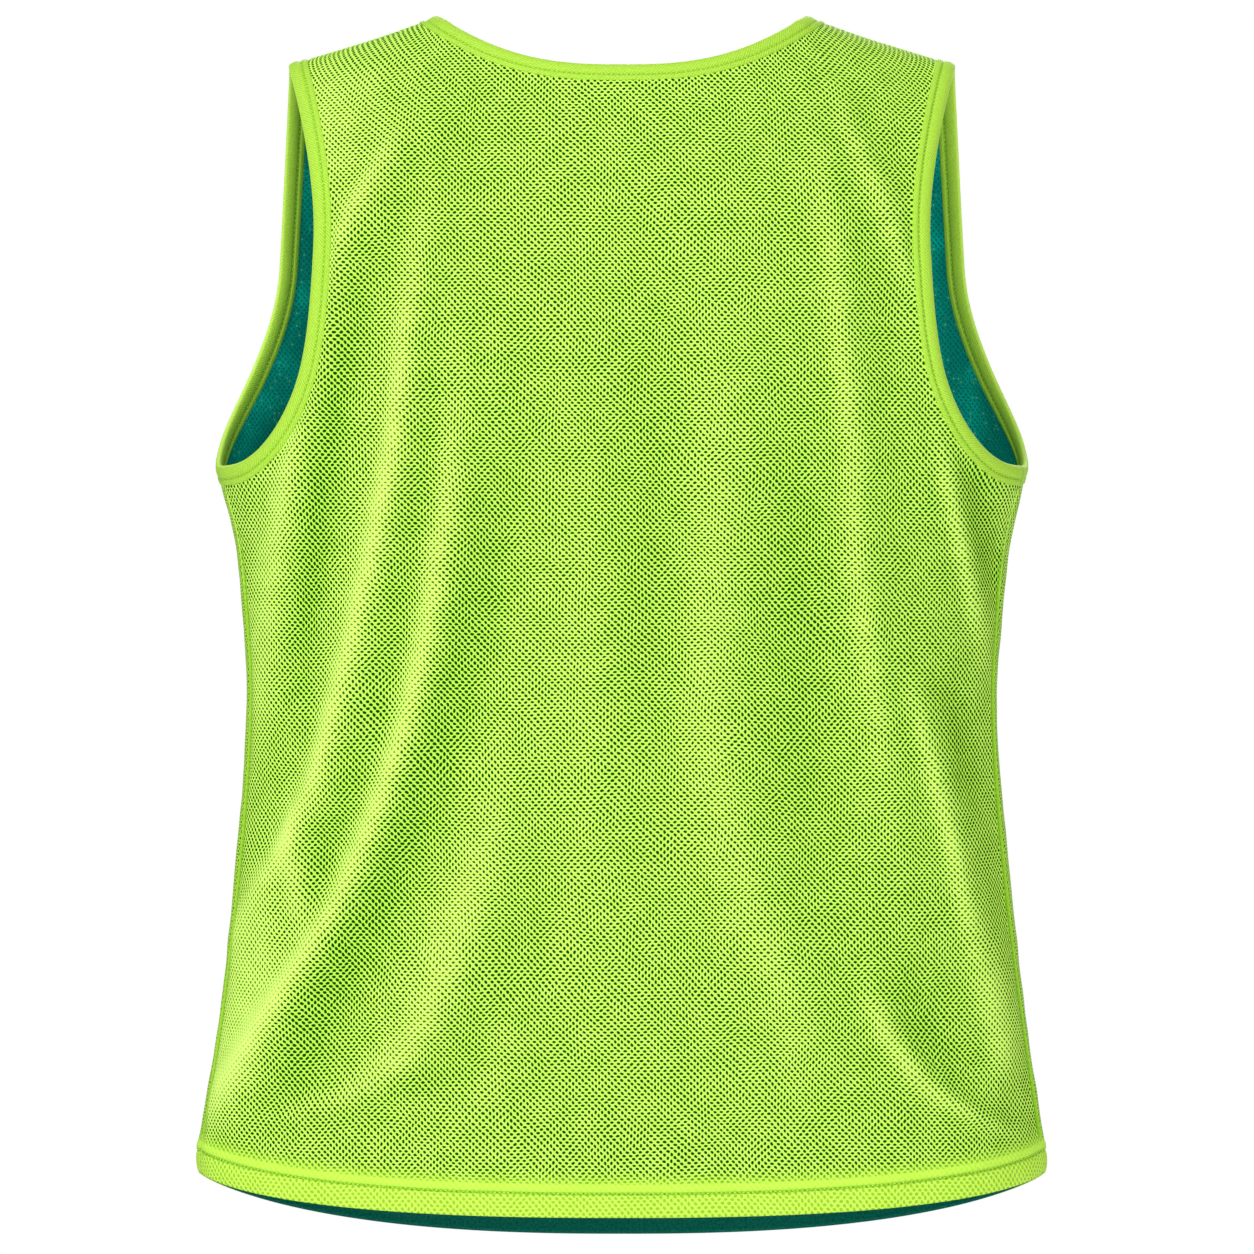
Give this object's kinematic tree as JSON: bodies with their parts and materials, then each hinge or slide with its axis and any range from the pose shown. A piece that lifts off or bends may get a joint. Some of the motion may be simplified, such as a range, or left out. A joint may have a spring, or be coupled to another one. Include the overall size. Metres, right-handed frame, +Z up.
{
  "type": "mesh training bib",
  "caption": "Sleeveless reversible mesh training bib in its worn, hollow form, with bound neck and armholes and a turned-up hem.",
  "frame": {"origin": "midway between the two neck points, where the shoulder seams meet the neck band", "axes": "+Z up along the wearer, +Y towards the wearer's front, +X towards the wearer's right; the back faces -Y"},
  "size_m": [0.503, 0.2391, 0.7207],
  "materials": {
    "lime_mesh": "matte polyester mesh with small round holes",
    "teal_mesh": "matte polyester mesh, the reverse layer",
    "lime_knit": "fine diagonal rib knit, folded and stitched"
  },
  "bodies": {
    "root": {"back_panel": "lime_mesh", "front_panel": "lime_mesh", "back_lining": "teal_mesh", "front_lining": "teal_mesh", "neck_binding": "lime_knit", "armhole_binding_left": "lime_knit", "armhole_binding_right": "lime_knit"}
  },
  "joints": []
}
